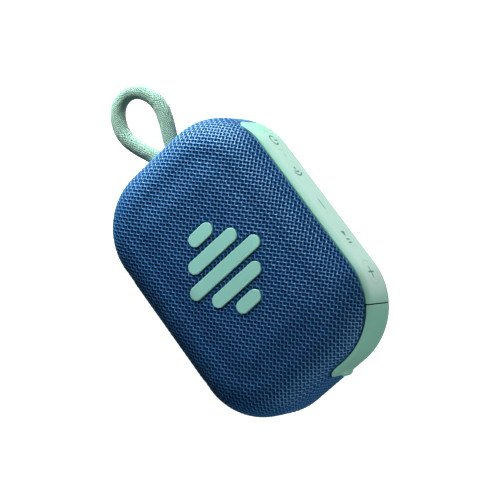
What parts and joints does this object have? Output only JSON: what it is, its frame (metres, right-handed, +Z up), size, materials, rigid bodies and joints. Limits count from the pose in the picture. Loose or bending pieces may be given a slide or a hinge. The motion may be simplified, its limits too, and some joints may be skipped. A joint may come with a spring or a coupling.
{
  "type": "portable wireless speaker",
  "caption": "Rounded slab speaker in a knitted cloth sleeve, with a rubber control band over the top, a hinged port flap and a braided carry loop.",
  "frame": {"origin": "centre of the footprint, on the surface that the foot rails stand on", "axes": "+Z up through the button side, -Y out of the front face, +X towards the port flap; the carry loop leaves towards -X"},
  "size_m": [0.1748, 0.0488, 0.0946],
  "materials": {
    "cloth": "knitted polyester sleeve",
    "trim": "matt silicone rubber",
    "braid": "braided polyester cord",
    "badge": "matt moulded plastic",
    "housing": "fine moulded texture",
    "rubber": "matt",
    "plastic": "moulded",
    "steel": "zinc plated",
    "iron": "sintered magnet",
    "copper": "enamelled copper winding",
    "paper": "coated pulp",
    "board": "solder mask",
    "battery": "shrink sleeve",
    "lens": "clear moulded light pipe"
  },
  "bodies": {
    "housing": {"speaker_cloth": "cloth", "front_housing": "housing", "rear_housing": "housing", "housing_screw_1": "steel", "housing_screw_2": "steel", "housing_screw_3": "steel", "housing_screw_4": "steel", "housing_seal": "rubber", "control_band": "trim", "button_board": "board", "tact_switch_power": "plastic", "tact_switch_wireless": "plastic", "tact_switch_minus": "plastic", "tact_switch_play": "plastic", "tact_switch_plus": "plastic", "led_chip": "lens", "led_light_pipe": "lens", "port_well": "plastic", "usb_shell": "steel", "usb_tongue": "plastic", "carry_loop": "braid", "loop_bezel": "housing", "loop_anchor": "plastic", "badge": "badge", "rear_plate": "housing", "rear_pad_1": "rubber", "rear_pad_2": "rubber", "rear_pad_3": "rubber", "rear_pad_4": "rubber", "base_foot": "rubber", "driver_gasket": "rubber", "driver_basket": "plastic", "driver_surround": "rubber", "driver_spider": "paper", "driver_top_plate": "steel", "driver_magnet": "iron", "driver_yoke": "steel", "radiator_gasket": "rubber", "radiator_frame": "plastic", "radiator_surround": "rubber", "battery_cell": "battery", "battery_holder": "plastic", "main_board": "board", "soc_chip": "plastic", "board_screw_1": "steel", "board_screw_2": "steel"},
    "button_power": {"button_power": "trim"},
    "button_wireless": {"button_wireless": "trim"},
    "button_minus": {"button_minus": "trim"},
    "button_play": {"button_play": "trim"},
    "button_plus": {"button_plus": "trim"},
    "port_flap": {"port_flap": "trim"},
    "cone": {"driver_cone": "paper", "driver_dust_cap": "paper", "voice_coil": "copper"},
    "radiator": {"radiator_plate": "steel"}
  },
  "joints": [
    {"name": "power_press", "type": "slide", "parent": "housing", "child": "button_power", "axis": [0.0469, 0, -0.9989], "range_m": [0, 0.0005], "stiffness_N_per_m": 3000},
    {"name": "wireless_press", "type": "slide", "parent": "housing", "child": "button_wireless", "axis": [0, 0, -1], "range_m": [0, 0.0005], "stiffness_N_per_m": 3000},
    {"name": "minus_press", "type": "slide", "parent": "housing", "child": "button_minus", "axis": [0, 0, -1], "range_m": [0, 0.0005], "stiffness_N_per_m": 3000},
    {"name": "play_press", "type": "slide", "parent": "housing", "child": "button_play", "axis": [0, 0, -1], "range_m": [0, 0.0005], "stiffness_N_per_m": 3000},
    {"name": "plus_press", "type": "slide", "parent": "housing", "child": "button_plus", "axis": [-0.1618, 0, -0.9868], "range_m": [0, 0.0005], "stiffness_N_per_m": 3000},
    {"name": "port_flap_hinge", "type": "hinge", "parent": "housing", "child": "port_flap", "pos_m": [0.05401, 0, 0.08834], "axis": [0, -1, 0], "range_deg": [0, 100], "stiffness_Nm_per_rad": 0.002},
    {"name": "cone_stroke", "type": "slide", "parent": "housing", "child": "cone", "axis": [0, -1, 0], "range_m": [-0.0015, 0.0015], "stiffness_N_per_m": 1800, "deforming": ["driver_surround", "driver_spider"]},
    {"name": "radiator_stroke", "type": "slide", "parent": "housing", "child": "radiator", "axis": [0, -1, 0], "range_m": [-0.0015, 0.0015], "stiffness_N_per_m": 1200, "deforming": ["radiator_surround"]}
  ]
}
